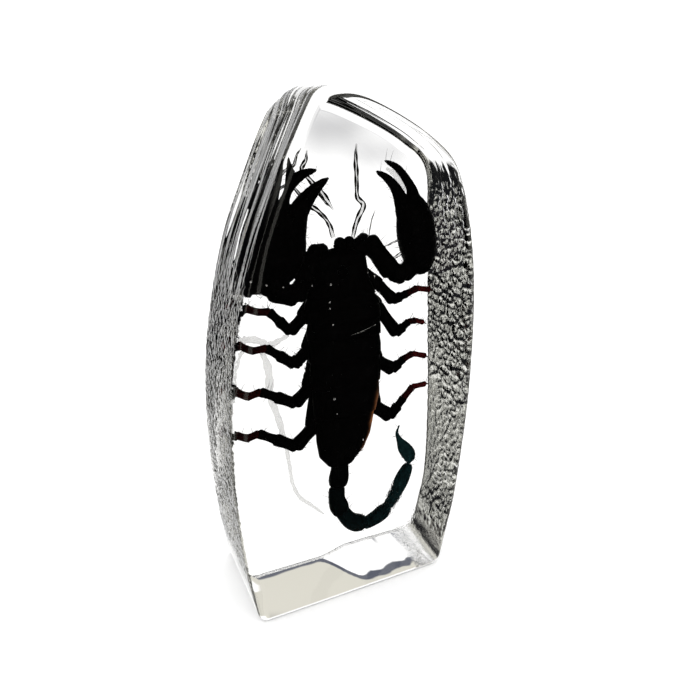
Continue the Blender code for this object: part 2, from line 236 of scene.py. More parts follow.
def spacedOutline():
    # the outline resampled: fine on the pebbled walls, coarser elsewhere
    dense = blockOutline()
    closed = np.concatenate([dense, dense[:1]])
    run = np.concatenate([[0], np.cumsum(np.linalg.norm(np.diff(closed[:, :2], axis=0), axis=1))])
    closingGap = 0.2  # the last point keeps this far off the first
    places, at = [], 0.0
    while at < run[-1] - closingGap:
        places.append(at)
        x, z = np.interp(at, run, closed[:, 0]), np.interp(at, run, closed[:, 1])
        smooth = "cornerStep" if abs(x) > block["corners"][0] and z < block["corners"][1] else "coarseStep"
        rough = abs(x) > block["wallsFrom"][0] and block["wallsFrom"][1] < z < wallOf(x)["noneAbove"]
        at += block["fineStep" if rough else smooth]
    places = np.array(places)
    rows = np.stack([np.interp(places, run, closed[:, i]) for i in range(4)], 1)
    ahead = np.roll(rows[:, :2], -1, 0) - rows[:, :2]
    behind = rows[:, :2] - np.roll(rows[:, :2], 1, 0)
    along = unit(ahead) + unit(behind)
    return places, rows, unit(np.stack([along[:, 1], -along[:, 0]], 1))


def wallRelief(run, y, x, z, wallShare):
    # how far a wall point is pressed in, and how pebbled it is
    walls, side = block["walls"], wallOf(x)
    faint = 0.01
    upper = smoothStep(side["fullBelow"], side["noneAbove"], z)
    foot = smoothStep(*walls["fadeFoot"], z) * wallShare
    mask = (1 - upper) * foot * (abs(x) > block["wallsFrom"][0])
    depth = 0.0
    if mask > faint:
        place = Vector((run / side["along"], y / side["across"], side["seed"]))
        (scale, reach), (width, deep) = walls["wander"], walls["crease"]
        place += noise.noise_vector(place * scale) * reach
        nearest = noise.voronoi(place)[0]
        crease = min(1.0, (nearest[1] - nearest[0]) / width)
        bowl = deep * (1 - crease) ** 1.5 + walls["bowlDepth"] * nearest[0] ** 2
        scale, least, more = walls["patches"]
        coarse = noise.noise(place * scale) * 0.5 + 0.5
        depth = side["depth"] * mask * bowl * (least + more * coarse)
        if x > 0:
            inFront, more = walls["softReach"]
            soft = walls["softShare"] * smoothStep(*walls["softFrom"], z)
            depth *= 1 - soft * (inFront + more * smoothStep(*walls["softBack"], y))
    if upper > faint and z > walls["streaksAbove"]:
        (along, across, deep), (finer, share) = walls["streaks"], walls["fineStreaks"]
        place = Vector((run / along, y / across, side["seed"]))
        wave = noise.noise(place) + share * noise.noise(place * finer)
        depth += deep * (0.5 + wave) * upper * wallShare * side["streakShare"]
    return depth, mask


def swayAt(x, y, size, seed):
    return noise.noise(Vector((x / size[0], y / size[1], seed)))


def baseLift(x, y, z):
    under = block["underside"]
    if z > under["below"]:
        return 0.0
    left, right = under["liftFrom"]
    start = left + (right - left) * smoothStep(*under["turn"], x)
    sway, length = under["sway"]
    start += sway * swayAt(x, 0.0, (length, 1.0), 7.3)
    along = max(0.0, y - start)
    eased = min(along, under["easeOver"])
    lift = under["slope"] * (eased ** 2 / (2 * under["easeOver"]) + along - eased)
    wave = under["wave"] * (swayAt(x, y, under["waveSize"], 4.4) + 1.0)
    ripple = under["ripple"] * (swayAt(x, y, under["rippleSize"], 9.1) + 1.0)
    return (lift + wave + ripple * smoothStep(*under["rippleFrom"], x)) * (1 - z / under["below"])


def shareAt(ranges, rows):
    # 1 where both x and z of an outline row are past their ranges
    return smoothStep(*ranges[0], rows[:, 0]) * smoothStep(*ranges[1], rows[:, 1])


def blockRings(rows):
    # rings of the skin from front to back: y of every column, plain inward reach, share of wall in it
    half, base, plain = block["thickness"] / 2, block["baseEdgeRound"], block["edgeRound"]
    full = plain + (block["leftEdgeRound"] - plain) * shareAt(block["leftSoft"], rows)
    front = base + (full - base) * np.clip(rows[:, 1] / block["blendHeight"], 0, 1)
    crisp = np.maximum(smoothStep(block["blendHeight"], block["crispBelow"], rows[:, 1]),
                       shareAt(block["crispRight"], rows))
    back = front * (1 - (1 - block["backShare"]) * crisp)
    frontFlat, backFlat = half - front, half - back
    turns = [pi / 2 * i / block["roundSteps"] for i in range(block["roundSteps"], -1, -1)]
    levels = int((block["thickness"] - 2 * block["leftEdgeRound"]) / block["fineStep"])
    rings = [(-(half - front * (1 - sin(t))), front * (1 - cos(t)), cos(t) ** 4) for t in turns]
    for i in range(1, levels):
        rings.append((-frontFlat + (frontFlat + backFlat) * i / levels, np.zeros(len(rows)), 1.0))
    return rings + [(half - back * (1 - sin(t)), back * (1 - cos(t)), cos(t) ** 4) for t in reversed(turns)]


def makeBlock(material):
    places, rows, inward = spacedOutline()
    rings = blockRings(rows)
    half, columns = block["thickness"] / 2, len(rows)
    high, low, near = block["footRange"]
    points = np.zeros((len(rings), columns, 3))
    frost = np.zeros((len(rings), columns))
    for r, (ys, reach, share) in enumerate(rings):
        across = ys / block["thickness"] + 0.5
        reach = reach + rows[:, 2] * across - rows[:, 3] * 4 * across * (1 - across)
        if share > 0.02:
            relief = [wallRelief(places[c], ys[c], rows[c, 0], rows[c, 1], share) for c in range(columns)]
            reach = reach + [depth for depth, _ in relief]
            frost[r] = [mask * block["frost"] for _, mask in relief]
        foot = smoothStep(high, low, rows[:, 1]) * (ys > half - near)
        foot = np.minimum(foot + shareAt(block["footCorner"], rows), 1) * (ys < half - 0.02)
        frost[r] = np.maximum(frost[r], foot * block["footFrost"])
        points[r, :, 0] = rows[:, 0] + inward[:, 0] * reach
        points[r, :, 1] = ys
        points[r, :, 2] = rows[:, 1] + inward[:, 1] * reach
        points[r, :, 2] += [baseLift(*point) for point in points[r]]
    obj = meshObject("clearBlock", points.reshape(-1, 3), skinFaces(len(rings), columns), material)
    for face in list(obj.data.polygons)[-2:]:
        face.use_smooth = False
    obj.data.attributes.new("frost", "FLOAT", "POINT").data.foreach_set("value", frost.ravel())
    return obj


def addAir(obj):
    # bubbles join the block's own mesh, facing into the air, so that one resin fills round them
    found = [tube(*curvePath(block["air"]["scratch"], 8), 12)]
    for x, y, z, radius in block["air"]["bubbles"]:
        found.append(ball((x, y, z), (radius, radius, radius * 1.25), rings=8, sides=12))
    hollow = joined("airHollows", found, None)
    hollow.data.flip_normals()
    shape = bmesh.new()
    shape.from_mesh(obj.data)
    shape.from_mesh(hollow.data)
    shape.to_mesh(obj.data)
    shape.free()
    bpy.data.objects.remove(hollow)


def resinMaterial():
    material, tree, shader = newMaterial("clearResin", {
        "Base Color": block["tint"], "IOR": block["ior"], "Transmission Weight": 1.0})
    frost = addNode(tree, "Attribute", attribute_name="frost").outputs["Fac"]
    grainy = addNode(tree, "MapRange", {"Value": frost, "From Max": block["frost"]})
    place = addNode(tree, "TexCoord")
    grain = addNode(tree, "TexNoise", {
        "Vector": place.outputs["Object"], "Scale": block["grainScale"], "Detail": 2.0})
    bump = addNode(tree, "Bump", {
        "Strength": grainy.outputs["Result"], "Distance": block["grainHeight"],
        "Height": grain.outputs["Fac"]})
    fillInputs(tree, shader, {"Roughness": frost, "Normal": bump.outputs["Normal"]})
    depth = addNode(tree, "VolumeAbsorption", {
        "Color": block["depthTint"], "Density": block["depthDensity"]})
    fillInputs(tree, tree.nodes["Material Output"], {"Volume": depth.outputs["Volume"]})
    return material


# The scorpion, belly to the back face, head up
shell = {
    "black": (0.0008, 0.0007, 0.0007),
    "legTip": (0.045, 0.004, 0.004),
    "pleura": (0.030, 0.012, 0.005),
    # a teal painted sheen for the tail, mixed into its black
    "paintedTailSheen": (0.004, 0.014, 0.015),
    # brown of that edge, brightened by painted light shining through it
    "backlitBrown": (0.34, 0.125, 0.045),
    "shade": (0.55, 1.5),  # the colours drift between these shares of themselves
    "shadeScale": 420,
    "roughness": (0.20, 0.42),
    "grainScale": 2600,
    "grainHeight": 0.00005,
    "grainStrength": 0.35,
    "ior": 1.05,  # against the resin round it
}


def shellMaterial():
    material, tree, shader = newMaterial("shellBlack", {"IOR": shell["ior"]})
    tint = addNode(tree, "Attribute", attribute_name="tint")
    place = addNode(tree, "TexCoord").outputs["Object"]
    patches = addNode(tree, "TexNoise", {
        "Vector": place, "Scale": shell["shadeScale"], "Detail": 5.0, "Roughness": 0.6})
    shade = addNode(tree, "MapRange", {
        "Value": patches.outputs["Fac"], "From Min": 0.3, "From Max": 0.7,
        "To Min": shell["shade"][0], "To Max": shell["shade"][1]})
    colour = addNode(tree, "VectorMath", {
        0: tint.outputs["Color"], "Scale": shade.outputs["Result"]}, operation="SCALE")
    grain = addNode(tree, "TexVoronoi", {"Vector": place, "Scale": shell["grainScale"]})
    bump = addNode(tree, "Bump", {
        "Strength": shell["grainStrength"], "Distance": shell["grainHeight"],
        "Height": grain.outputs["Distance"]})
    rough = addNode(tree, "MapRange", {
        "Value": patches.outputs["Fac"], "To Min": shell["roughness"][0], "To Max": shell["roughness"][1]})
    fillInputs(tree, shader, {"Base Color": colour.outputs["Vector"], "Normal": bump.outputs["Normal"],
                              "Roughness": rough.outputs["Result"]})
    return material


def loft(rings, tint):
    # closed skin through rings of equal length; tint is one colour, or one to a ring
    count = len(rings[0])
    tints = np.array(tint, float)
    tints = np.repeat(tints if tints.ndim == 2 else np.tile(tints, (len(rings), 1)), count, 0)
    return np.concatenate(rings), skinFaces(len(rings), count), tints


def joined(name, parts, material):
    # one object of many closed skins, each facing out, with its colours as a mesh attribute
    points = np.concatenate([p[0] for p in parts])
    tints = np.concatenate([p[2] for p in parts])
    faces, start = [], 0
    for part in parts:
        faces += [tuple(i + start for i in face) for face in part[1]]
        start += len(part[0])
    obj = meshObject(name, points, faces, material)
    shape = bmesh.new()
    shape.from_mesh(obj.data)
    bmesh.ops.recalc_face_normals(shape, faces=shape.faces)
    shape.to_mesh(obj.data)
    shape.free()
    colour = obj.data.color_attributes.new("tint", "FLOAT_COLOR", "POINT")
    colour.data.foreach_set("color", np.concatenate([tints, np.ones((len(tints), 1))], 1).ravel())
    return obj


def circle(sides):
    turns = np.linspace(0, 2 * pi, sides, endpoint=False)
    return turns, np.cos(turns), np.sin(turns)


def pathFrames(path):
    # at each point of a path: sideways and backwards (towards -Y) directions of its section
    ahead = unit(np.gradient(path, axis=0))
    side = unit(np.cross(ahead, (0.0, -1.0, 0.0)))
    return side, np.cross(side, ahead)


def tube(path, radii, sides, depth=1.0, keels=0, keelHeight=0.0, grain=0.0, tint=None, power=2.0):
    # a limb along a path; depth flattens it, keels are ridges along it, power squares its section
    side, back = pathFrames(path)
    turns, c, s = circle(sides)
    square = (abs(c) ** power + abs(s) ** power) ** (-1 / power)
    ridge = (0.5 + 0.5 * np.cos(keels * (turns + pi / keels))) ** 6 if keels else np.zeros(sides)
    fullKeels, grainScale = 1.2, 2.6  # radius of full keels, grain per mm
    rings = []
    for i, (centre, radius) in enumerate(zip(path, radii)):
        reach = radius * square + keelHeight * ridge * min(1.0, radius / fullKeels)
        ring = centre + side[i] * (reach * c)[:, None] + back[i] * (reach * s * depth)[:, None]
        if grain:
            for k in range(sides):
                bump = noise.noise(Vector(ring[k]) * grainScale)
                ring[k] += (ring[k] - centre) / max(radius, 0.1) * grain * bump
        rings.append(ring)
    return loft(rings, shell["black"] if tint is None else tint)


def segment(start, end, startRadius, endRadius, sides=16, depth=1.0, waist=0.12, tint=None, keels=0,
            keelHeight=0.0, grain=0.0):
    # one limb segment: rounded ends that sit in its neighbours, a slight waist, a flared far end
    start, end = np.array(start, float), np.array(end, float)
    length = np.linalg.norm(end - start)
    shares = np.concatenate([[0, 0.015, 0.05, 0.1], np.linspace(0.16, 0.86, 8), [0.92, 0.96, 0.985, 1.0]])
    path = start + (end - start) * shares[:, None]
    radii = startRadius + (endRadius - startRadius) * shares
    radii = radii * (1 - waist * np.sin(pi * np.clip(shares * 1.25, 0, 1)) + 0.5 * waist * shares ** 4)
    for away, radius in ((shares, startRadius), (1 - shares, endRadius)):
        cap = np.clip(away * length / max(radius * 0.7, 1e-6), 0, 1)
        radii = radii * np.sqrt(1 - (1 - cap) ** 2 * 0.92)  # blunt: it closes to a small flat end
    return tube(path, radii, sides, depth, keels, keelHeight, grain, tint)


def overlapped(a, b, share):
    # ends of a segment that runs on into its joints by a share of their radii
    ahead = unit(b[:3] - a[:3])
    return a[:3] - ahead * a[3] * share, b[:3] + ahead * b[3] * share


def ball(centre, size, rings=8, sides=14, tint=None):
    turns = np.linspace(0.12, pi - 0.12, rings)  # stops short of the poles, as a tube needs
    path = np.array(centre, float) + np.array([0, 0, 1.0]) * size[2] * np.cos(turns)[:, None]
    return tube(path, np.sin(turns) * size[0], sides, size[1] / size[0], tint=tint)


trunk = {
    # height z, middle x, half width, rise of the back, depth of the belly
    "rows": [
        (78.1, -1, 3.2, 1.2, 1), (77.6, -1.2, 5.2, 1.8, 1.5), (77, -1.4, 5.9, 2.4, 1.9),
        (75.2, -1.6, 6.4, 3, 2.5), (72, -1.7, 7.1, 3.4, 2.8), (70, -1.4, 7.6, 3.5, 2.9),
        (68, -1, 8.3, 3.6, 2.9), (66, -0.7, 8.8, 3.6, 2.9), (60, -0.5, 8.7, 3.8, 2.9),
        (52, -0.3, 8.6, 3.8, 2.9), (45.5, -0.3, 8.2, 3.7, 2.8), (41, -0.7, 7.5, 3.5, 2.7),
        (36, -1.2, 6.7, 3.2, 2.5), (32, -1.9, 5.4, 2.8, 2.2), (29.4, -2.2, 3, 2, 1.7),
    ],
    "plateEdges": [68.6, 66.2, 63.2, 59.4, 54.6, 48.6, 41.4, 29.4],  # rear edges, the carapace's first
    "plateStep": 0.95,  # a plate starts this much smaller than the one before it ends
    "plateLift": 0.22,  # and its rear edge stands up by this
    "rowStep": 0.4,
    "sides": 96,
    "squareness": (0.86, 0.9, 0.8),  # powers of the section: across, back, belly
    "frontCap": ((0.3, 0.5), (0.62, 0.38), (0.85, 0.2)),  # share of the width, height above
    "rearCap": ((0.6, 0.5), (0.2, 0.6)),  # and below the rear end
    "keel": (0.16, 0, 0.045),  # ridges of a back plate: height, place, width
    "sideKeels": (0.1, 0.42, 0.05),
    "furrow": (0.5, 0, 0.09),  # groove of the carapace, shallower at the top
    "furrowTop": 72.6,
    "brow": (0.35, 0.45, 0.3),  # swelling beside the eyes, and its height and half length
    "browAt": (71, 2.6),
    "grain": 0.05,
    "grainScale": 1.9,
    "pleura": 0.94,  # soft strip between back and belly plates
    "pleuraAt": (-0.3, 0.16),
    "brownFrom": 6,  # plates from this one on show it brown
    "backlitBrownAt": (0.42, 0.13),  # brown edge low on the right side: its own brown, with painted light shining through it
    "backlitBrownFrom": (50, 40),
    "eyes": {
        "height": 73.6,
        "hump": (1.3, 0.75, 1.5),
        "middle": (0.5, 0.46, 0.55),
        "side": (0.26, 0.26, 0.3),
        "sideTop": 77.4,
        "sideStep": 0.75,
    },
    "jaws": {
        "left": [(-1.5, -0.4, 75.6, 1.8), (-1.5, -0.4, 78, 1.7), (-1.3, -0.2, 79.5, 1.3)],
        "right": [(0.9, -0.4, 75.8, 1.8), (0.9, -0.4, 78.2, 1.7), (0.8, -0.2, 79.7, 1.2)],
    },
    "breastplate": ((-0.8, 2.2, 70.5), (2.2, 1.5, 4.4)),
    "combs": {
        "places": {"left": (-3.4, 3, 59.4, 62), "right": (2.2, 3, 59.8, -62)},  # x, y, z, turn
        "length": 7,
        "teeth": 14,
        "toothLength": 1.25,
    },
}


def trunkAt(z):
    rows = np.array(trunk["rows"])[::-1]
    return [np.interp(z, rows[:, 0], rows[:, i]) for i in range(1, 5)]


def hill(away, height, middle, width):
    return height * np.exp(-((away - middle) / width) ** 2)


def trunkRing(z, scale, plateShare, plateIndex):
    middle, half, rise, depth = trunkAt(z)
    _, c, s = circle(trunk["sides"])
    onBack = s > 0
    acrossPower, backPower, bellyPower = trunk["squareness"]
    x = np.sign(c) * abs(c) ** acrossPower * half * scale
    y = np.where(onBack, -rise * scale * abs(s) ** backPower, depth * scale * abs(s) ** bellyPower)
    away = x / half
    if plateIndex == 0:  # carapace
        y += hill(away, *trunk["furrow"]) * onBack * (1 if z < trunk["furrowTop"] else 0.35)
        browHeight, browPlace, browWidth = trunk["brow"]
        atBrow = hill(z, browHeight, *trunk["browAt"])
        for place in (browPlace, -browPlace):
            y -= hill(away, atBrow, place, browWidth) * onBack
    else:
        y -= trunk["plateLift"] * plateShare ** 3 * onBack * (1 - away ** 4)
        y -= hill(away, *trunk["keel"]) * onBack * plateShare
        y -= hill(abs(away), *trunk["sideKeels"]) * onBack * plateShare
    pleural = hill(s, 1.0, *trunk["pleuraAt"]) * (abs(c) > 0.5)
    x *= 1 - (1 - trunk["pleura"]) * pleural * (plateIndex > 0)
    ring = np.stack([middle + x, y, np.full_like(x, z)], 1)
    grain = trunk["grain"] * (1.5 if plateIndex == 0 else 0.4 + plateShare)
    for k in np.nonzero(onBack)[0]:
        cell = noise.voronoi(Vector(ring[k]) * trunk["grainScale"])[0][0]
        ring[k, 1] -= grain * max(0.0, 0.55 - cell) * 2
    black = np.array(shell["black"])
    brown = pleural * (1.0 if plateIndex >= trunk["brownFrom"] else 0.25)
    tint = black + (np.array(shell["pleura"]) - black) * brown[:, None]
    # a brown edge low on the right side only: the soft edge's own brown, with painted light shining through
    # it
    streak = max(0.0, 0.8 + 0.9 * noise.noise(Vector((0, z * 0.5, 2.2))))
    edge = hill(s, 1.0, *trunk["backlitBrownAt"]) * (c > 0) * smoothStep(*trunk["backlitBrownFrom"], z) * streak
    return ring, tint + (np.array(shell["backlitBrown"]) - tint) * np.clip(edge, 0, 1)[:, None]


def makeTrunk(material):
    rings, tints = [], []
    edges = trunk["plateEdges"]
    top = trunk["rows"][0][0]

    def addRing(z, scale, share, index, rise=0.0):
        ring, tint = trunkRing(z, scale, share, index)
        ring[:, 2] += rise
        rings.append(ring)
        tints.append(tint)

    for scale, rise in trunk["frontCap"]:
        addRing(top, scale, 0.0, 0, rise)
    for z in np.linspace(top, edges[0], int((top - edges[0]) / trunk["rowStep"])):
        addRing(z, 1.0, 0.0, 0)
    seam = 0.02  # a plate begins this far below the one in front of it
    for index, (front, rear) in enumerate(zip(edges, edges[1:]), 1):
        rows = int((front - rear) / trunk["rowStep"])
        for i in range(rows + 1):
            share = i / rows
            scale = trunk["plateStep"] + (1 - trunk["plateStep"]) * min(1.0, share / 0.5) ** 0.7
            addRing(front - seam - (front - rear - seam) * share, scale, share, index)
    for scale, drop in trunk["rearCap"]:
        addRing(edges[-1] - drop, scale, 1.0, len(edges) - 1)
    points, faces, _ = loft(rings, shell["black"])
    parts = [(points, faces, np.concatenate(tints))] + eyes() + mouthparts() + bellyParts()
    return joined("scorpionTrunk", parts, material)


def eyes():
    # a low hump with the two middle eyes, and three small eyes at each front corner
    eye = trunk["eyes"]
    middle, _, rise, _ = trunkAt(eye["height"])
    found = [ball((middle, -rise + 0.25, eye["height"]), eye["hump"])]
    for side in (-1, 1):
        found.append(ball((middle + side * 0.72, -rise - 0.2, eye["height"] + 0.2), eye["middle"]))
        for i in range(3):
            z = eye["sideTop"] - eye["sideStep"] * i
            place, wide, up, _ = trunkAt(z)
            x = place + side * (wide - 0.7 + 0.1 * i)
            found.append(ball((x, -up * 0.42, z), eye["side"], rings=6, sides=10))
    return found


def mouthparts():
    found = []
    for joints in trunk["jaws"].values():
        for a, b in zip(joints, joints[1:]):
            found.append(segment(a[:3], b[:3], a[3], b[3] * 1.02, sides=20, depth=0.95, waist=0.05,
                                 grain=0.04))
        x, y, z, radius = joints[-1]
        found.append(ball((x, y, z), (radius, radius, radius * 0.9), rings=10, sides=20))
    return found


def bellyParts():
    # breastplate, leg roots and combs, which face the back of the block
    plate, size = trunk["breastplate"]
    found = [ball(plate, size, rings=12, sides=20)]
    for joints in legs["joints"].values():
        a, b = np.array(joints[0][:3]), np.array(joints[1][:3])
        root = np.array([(plate[0] + a[0]) / 2, 2.6, a[2] + 0.6])
        found.append(segment(root, a + (b - a) * 0.12 + (0, 0.3, 0), 1.5, 1.45, sides=18, depth=0.9,
                             waist=0.02, grain=0.03))
    combs = trunk["combs"]
    for side, (x, y, z, turn) in combs["places"].items():
        along = np.array([sin(radians(turn)), 0.0, cos(radians(turn))])
        across = np.array([along[2], 0.0, -along[0]]) * (1 if side == "left" else -1)
        start = np.array([x, y + 0.2, z]) + along * combs["length"] / 2
        end = start - along * combs["length"]
        found.append(segment(start, end, 0.75, 0.4, sides=12, depth=0.55))
        for i in range(combs["teeth"]):
            root = start + (end - start) * (0.06 + 0.88 * i / (combs["teeth"] - 1))
            tip = root - across * combs["toothLength"] + (0, 0.1, 0)
            found.append(segment(root, tip, 0.24, 0.2, sides=8, depth=0.7))
    return found


legs = {
    # x, y, z and radius at each joint, from under the body outwards
    "joints": {
        "left_1": [(-4.2, 2.2, 72, 1.6), (-9.6, 1.2, 64.4, 1.6), (-12.7, 0.2, 62, 1.3), (-17, 0, 66.6, 1),
                   (-20.6, 0, 66.9, 0.8), (-22.4, 0.2, 67, 0.65)],
        "left_2": [(-4.2, 2.5, 69, 1.6), (-8.6, 1.5, 57.2, 1.7), (-12.2, 0.3, 54.8, 1.4),
                   (-18, 0, 59.1, 1), (-22, 0, 58.9, 0.8), (-23.8, 0.2, 58.9, 0.65)],
        "left_3": [(-4.2, 2.7, 66, 1.7), (-8.6, 1.7, 48.6, 1.8), (-12.3, 0.3, 46, 1.5),
                   (-19.8, 0, 49.9, 1.05), (-23.2, 0, 49.2, 0.85), (-24.8, 0.2, 48.9, 0.7)],
        "left_4": [(-4, 2.8, 63, 1.8), (-8, 1.8, 39.2, 1.9), (-12.6, 0.3, 35.9, 1.6),
                   (-20.8, 0, 40.7, 1.05), (-24, 0, 40, 0.9), (-25.4, 0.2, 39.8, 0.7)],
        "right_1": [(3, 2.2, 74.4, 1.5), (8.2, 1, 69.8, 1.4), (11.5, 0.2, 66.3, 1.4), (14.8, 0, 67.4, 1),
                    (17.4, 0, 68.4, 0.8), (20.8, 0.2, 67.8, 0.65)],
        "right_2": [(2.6, 2.5, 71, 1.6), (7.9, 1.5, 65, 1.7), (12.5, 0.3, 58.6, 1.4),
                    (15.4, 0, 60.9, 0.95), (17.2, 0, 61, 0.75), (19.4, 0.2, 60.3, 0.6)],
        "right_3": [(3, 2.7, 67, 1.7), (7.6, 1.7, 52.6, 1.8), (11.6, 0.3, 50.1, 1.5),
                    (14.2, 0, 52.2, 1.05), (16.6, 0, 53.2, 0.8), (20.2, 0.2, 52.1, 0.65)],
        "right_4": [(3, 2.8, 64, 1.8), (7, 1.8, 41.6, 1.9), (11, 0.4, 38.6, 1.6), (14.4, 0, 42.6, 1.1),
                    (16.8, 0, 45, 0.85), (20.4, 0.2, 45.1, 0.65)],
    },
    "kneeShare": 0.56,  # one more joint, this far along the third span
    "swell": (1.06, 1.05, 1.04, 0.98, 1, 1),
    "redness": (0, 0, 0, 0, 0.3, 1),
    "overlap": 0.35,
    "sides": 16,
    "depth": 0.82,
    "waist": 0.16,
    "clawLength": 0.9,
    "clawSpread": 0.35,
    "clawDroop": 0.25,
}


def makeLegs(material):
    found = []
    black, red = np.array(shell["black"]), np.array(shell["legTip"])
    for joints in legs["joints"].values():
        j = [np.array(joint) for joint in joints]
        stops = [*j[:3], j[2] + (j[3] - j[2]) * legs["kneeShare"], *j[3:]]
        for a, b, swell, redness in zip(stops, stops[1:], legs["swell"], legs["redness"]):
            start, end = overlapped(a, b, legs["overlap"])
            found.append(segment(start, end, a[3] * swell, b[3] * swell, legs["sides"], legs["depth"],
                                 legs["waist"], black + (red - black) * redness, keels=6, keelHeight=0.06))
        found += footClaws(j[4][:3], j[5][:3], j[5][3], red)
    return joined("scorpionLegs", found, material)


def footClaws(before, tip, radius, tint):
    ahead = unit(tip - before)
    found = []
    t = np.linspace(0, 1, 6)[:, None]
    for side in (-1, 1):
        path = tip + ahead * t * legs["clawLength"] + np.array([0, side * legs["clawSpread"], 0]) * t
        path = path + np.array([0, 0, -legs["clawDroop"]]) * t ** 2
        found.append(tube(path, np.linspace(radius * 0.4, 0.05, len(t)), 8, tint=tint))
    return found


claws = {
    "arms": {
        "left": [(-4.9, 0.6, 75.6, 2.2), (-6.2, -0.4, 78.7, 2), (-9.7, -0.9, 72, 1.9),
                 (-11.4, -0.8, 69.2, 2.3), (-16.4, -0.4, 71, 2.4), (-18.4, -0.2, 74.2, 2.4)],
        "right": [(2.6, 0.6, 77.6, 2.5), (5.2, -0.4, 79.6, 2.3), (10.6, -1, 72.7, 2.3),
                  (13.6, -0.8, 71.8, 2.3), (17.8, -0.2, 75.2, 2.4)],
    },
    "overlap": 0.3,
    # middle, half width, half depth, half length, lean of the top towards +X in degrees
    "palms": {
        "left": ((-14.5, -0.6, 79.2), 5.6, 3.4, 7.5, 9),
        "right": ((16.9, -0.4, 80.2), 4.5, 4.4, 8.8, -11),
    },
    "fingers": {
        "left_fixed": [(-15.2, -0.5, 85.4, 3.1), (-14.2, -0.4, 88.2, 2.5), (-12.2, -0.3, 90.7, 1.5),
                       (-9, -0.1, 92.9, 0.95), (-5.8, 0, 93.8, 0.42)],
        "left_moving": [(-11.6, -0.6, 82.2, 3), (-10.3, -0.5, 85.5, 2.2), (-8.5, -0.4, 88.1, 1.7),
                        (-6, -0.2, 90.5, 1.1), (-3.4, 0, 92.3, 0.42)],
        "right_fixed": [(16, -0.4, 86.4, 2.3), (15.5, -0.3, 89.6, 1.25), (13.8, -0.2, 92.2, 0.95),
                        (11.8, -0.1, 94.2, 0.78), (8.9, 0, 95.6, 0.38)],
        "right_moving": [(13.8, -0.4, 84.6, 2), (12.8, -0.3, 87.8, 1.6), (11.3, -0.2, 90.4, 1.15),
                         (9.4, -0.1, 92.2, 0.85), (7, 0, 93.5, 0.4)],
    },
    "tipTaper": (0.95, 0.8, 0.45),
    "voxel": 0.24,  # the palms and fingers are grown together at this grain
    "lumps": 0.16,  # height of their relief:
    "netScale": 0.85,  # a net of ridges on the palms
    "netWidth": 0.28,
    "netShare": 0.55,
    "netBelow": (90, 84),
    "grainScale": 3,  # and grain all over
    "grainShare": 0.35,
}


def makeClaws(material):
    # arm segments, palms and fingers, grown into one form by a voxel remesh
    found = []
    for side, joints in claws["arms"].items():
        j = [np.array(joint) for joint in joints]
        for a, b in zip(j, j[1:]):
            start, end = overlapped(a, b, claws["overlap"])
            found.append(segment(start, end, a[3], b[3], sides=24, depth=0.9, waist=0.1, keels=6,
                                 keelHeight=0.12, grain=0.05))
        middle, wide, deep, long, lean = claws["palms"][side]
        shares = np.linspace(0.06, pi - 0.06, 22)
        axis = np.array([sin(radians(lean)), 0.0, cos(radians(lean))])
        path = np.array(middle) + axis * (long * np.cos(shares))[:, None]
        found.append(tube(path, wide * np.sin(shares) ** 0.9, 40, deep / wide, power=2.2))
    for joints in claws["fingers"].values():
        path, radii = curvePath(joints, 6)
        radii[-3:] *= claws["tipTaper"]
        found.append(tube(path, radii, 20, 0.95))
    obj = joined("scorpionClaws", found, material)
    grown = obj.modifiers.new("grow", "REMESH")
    grown.mode = "VOXEL"
    grown.voxel_size = claws["voxel"] * mm
    grown.use_smooth_shade = True
    eased = obj.modifiers.new("ease", "SMOOTH")
    eased.factor = 0.5
    eased.iterations = 3
    graph = bpy.context.evaluated_depsgraph_get()
    mesh = bpy.data.meshes.new_from_object(obj.evaluated_get(graph))
    obj.modifiers.clear()
    obj.data = mesh
    roughenClaws(mesh)
    return obj


def roughenClaws(mesh):
    # a net of low ridges over the palms, grain all over
    places, normals = vertexRows(mesh, "co") / mm, vertexRows(mesh, "normal")
    height = np.zeros(len(places))
    for i, place in enumerate(places):
        cell = noise.voronoi(Vector(place) * claws["netScale"])[0]
        ridge = max(0.0, 1 - (cell[1] - cell[0]) / claws["netWidth"])
        ridge *= smoothStep(*claws["netBelow"], place[2])
        grain = noise.noise(Vector(place) * claws["grainScale"])
        height[i] = claws["lumps"] * (claws["netShare"] * ridge + claws["grainShare"] * grain)
    places += normals * height[:, None]
    mesh.vertices.foreach_set("co", (places * mm).ravel())
    colour = mesh.color_attributes.get("tint") or mesh.color_attributes.new("tint", "FLOAT_COLOR", "POINT")
    colour.data.foreach_set("color", np.tile([*shell["black"], 1.0], (len(places), 1)).ravel())
    mesh.update()


tail = {
    # x, z and radius along each; all lie in the plane y = 0
    "segments": [
        [(-2.1, 31.4, 1.9), (-2.4, 27.6, 2.1), (-3, 23.4, 2)],
        [(-3.2, 23.8, 1.9), (-3.2, 20, 2), (-2, 16.4, 1.9)],
        [(-2.3, 17.2, 1.75), (0.3, 13.6, 2), (4.1, 11.7, 1.75)],
        [(3.4, 11.6, 1.55), (7.2, 12.8, 1.85), (10.7, 14.8, 1.45)],
        [(10.2, 14.3, 1.4), (13.2, 19.4, 1.8), (16.1, 25, 1.3)],
    ],
    "sting": [(16.2, 25.1, 0.9), (16.1, 27.4, 1.75), (14.6, 29.8, 1.6), (13.4, 32, 0.8), (12.7, 34, 0.4),
              (13.3, 35.8, 0.16)],
    "swell": (0.98, 0.16, 0.74, 0.2),  # share all along, added share, where along, how wide
    "notch": (0.32, 0.10),  # depth and length of the waist at both ends of a segment
    "sides": 40,
    "keels": 8,
    "keelHeight": 0.13,
}


